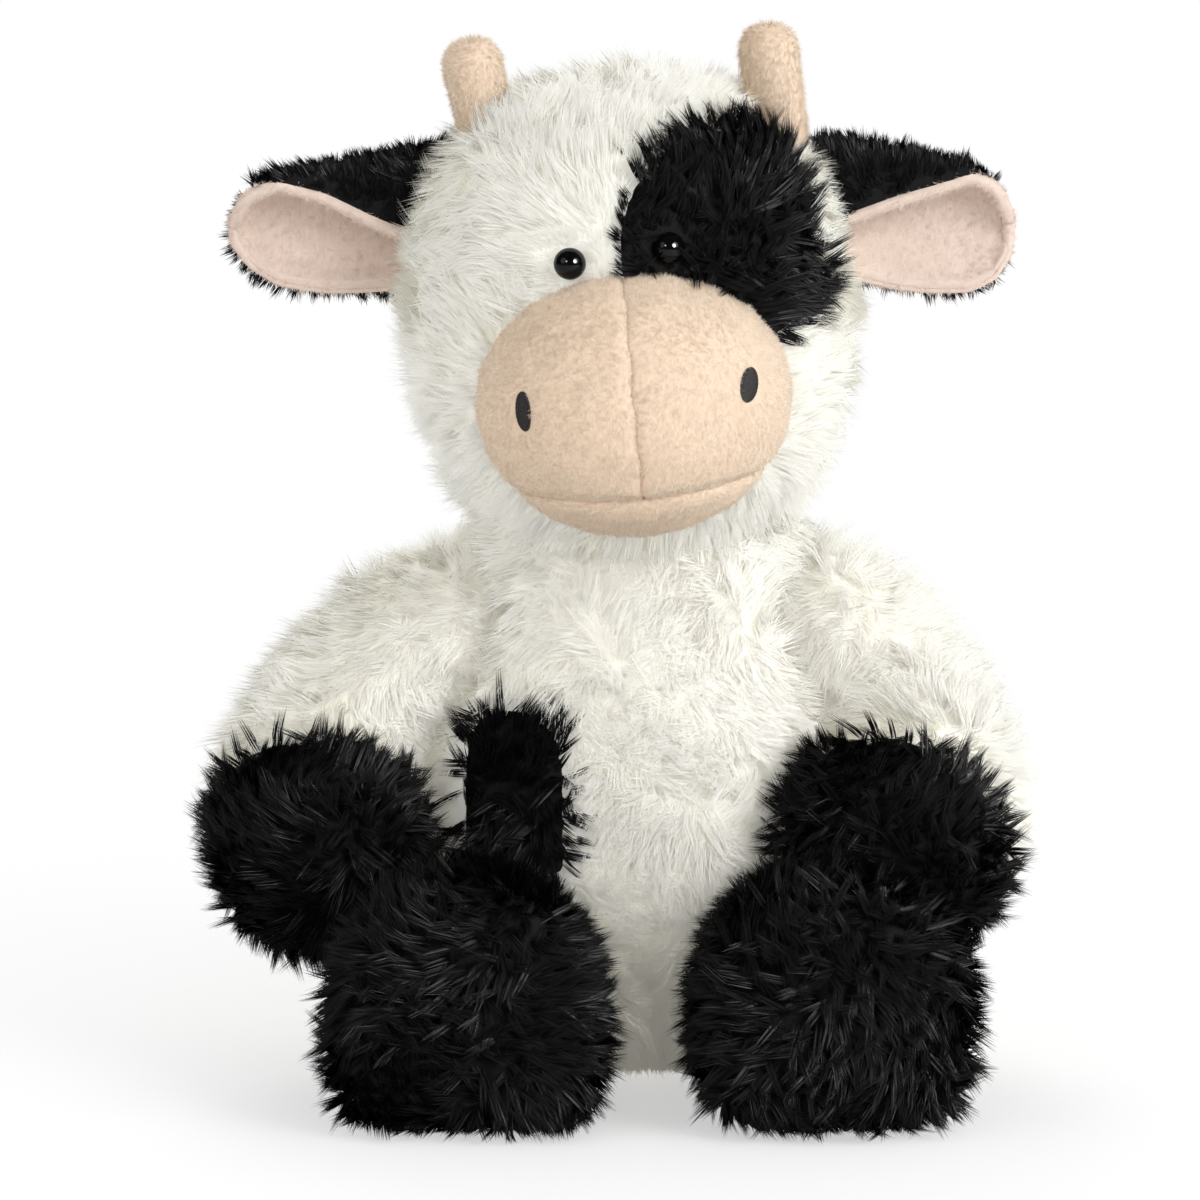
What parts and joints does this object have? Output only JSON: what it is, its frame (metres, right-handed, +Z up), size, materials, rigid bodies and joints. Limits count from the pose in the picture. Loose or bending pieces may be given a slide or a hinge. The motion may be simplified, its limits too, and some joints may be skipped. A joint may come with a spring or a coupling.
{
  "type": "stuffed toy cow",
  "caption": "Seated stuffed cow with shaggy white and black pile, a velour muzzle and stub horns; its head, ears, arms, legs and tail move at their seams.",
  "frame": {"origin": "on the floor, at the middle of the flat seat, under the neck", "axes": "+Z up; the toy faces -Y and its own left side is +X"},
  "size_m": [0.2337, 0.2138, 0.302],
  "materials": {
    "white_plush": "matte",
    "black_plush": "matte",
    "peach_velour": "matte",
    "pink_velour": "matte",
    "grey_thread": "satin",
    "black_gloss": "gloss",
    "clear_nylon": "satin",
    "fibre_fill": "matte",
    "pouch_cloth": "matte"
  },
  "bodies": {
    "torso": {"torso_cover": "white_plush", "belly_patch": "black_plush", "torso_stuffing": "fibre_fill", "seat_pellet_pouch": "pouch_cloth"},
    "head": {"head_cover": "white_plush", "eye_patch": "black_plush", "head_stuffing": "fibre_fill", "muzzle_left_panel": "peach_velour", "muzzle_right_panel": "peach_velour", "muzzle_chin_panel": "peach_velour", "muzzle_stuffing": "fibre_fill", "nostril_left": "grey_thread", "nostril_right": "grey_thread", "eye_left": "black_gloss", "eye_washer_left": "clear_nylon", "horn_left_cover": "peach_velour", "horn_left_stuffing": "fibre_fill", "eye_right": "black_gloss", "eye_washer_right": "clear_nylon", "horn_right_cover": "peach_velour", "horn_right_stuffing": "fibre_fill"},
    "tail": {"tail_sleeve": "white_plush", "tail_tuft": "black_plush"},
    "ear_left": {"ear_left_back": "black_plush", "ear_left_lining": "pink_velour"},
    "arm_left": {"arm_left_sleeve": "white_plush", "arm_left_hoof": "black_plush", "arm_left_stuffing": "fibre_fill"},
    "leg_left": {"leg_left_thigh": "white_plush", "leg_left_foot": "black_plush", "leg_left_stuffing": "fibre_fill"},
    "ear_right": {"ear_right_back": "black_plush", "ear_right_lining": "pink_velour"},
    "arm_right": {"arm_right_sleeve": "white_plush", "arm_right_hoof": "black_plush", "arm_right_stuffing": "fibre_fill"},
    "leg_right": {"leg_right_thigh": "white_plush", "leg_right_foot": "black_plush", "leg_right_stuffing": "fibre_fill"}
  },
  "joints": [
    {"name": "head_turn", "type": "hinge", "parent": "torso", "child": "head", "pos_m": [0.0015, 0, 0.157], "axis": [0, 0, 1], "range_deg": [-25, 25]},
    {"name": "ear_left_swing", "type": "hinge", "parent": "head", "child": "ear_left", "pos_m": [0.05716, -0.004, 0.24217], "axis": [-0.0872, 0, 0.9962], "range_deg": [-35, 35]},
    {"name": "ear_right_swing", "type": "hinge", "parent": "head", "child": "ear_right", "pos_m": [-0.06552, -0.004, 0.2465], "axis": [-0.0872, 0, 0.9962], "range_deg": [-35, 35]},
    {"name": "arm_left_raise", "type": "hinge", "parent": "torso", "child": "arm_left", "pos_m": [0.05015, 0, 0.12325], "axis": [0, -1, 0], "range_deg": [0, 60]},
    {"name": "arm_right_raise", "type": "hinge", "parent": "torso", "child": "arm_right", "pos_m": [-0.05015, 0, 0.12325], "axis": [0, 1, 0], "range_deg": [0, 60]},
    {"name": "leg_left_drop", "type": "hinge", "parent": "torso", "child": "leg_left", "pos_m": [0.04717, -0.03007, 0.032], "axis": [1, 0, 0], "range_deg": [0, 60]},
    {"name": "leg_right_drop", "type": "hinge", "parent": "torso", "child": "leg_right", "pos_m": [-0.0459, -0.03007, 0.032], "axis": [1, 0, 0], "range_deg": [0, 60]},
    {"name": "tail_wag", "type": "hinge", "parent": "torso", "child": "tail", "pos_m": [0, 0.06386, 0.06202], "axis": [0, 1, 0], "range_deg": [-40, 40]}
  ]
}
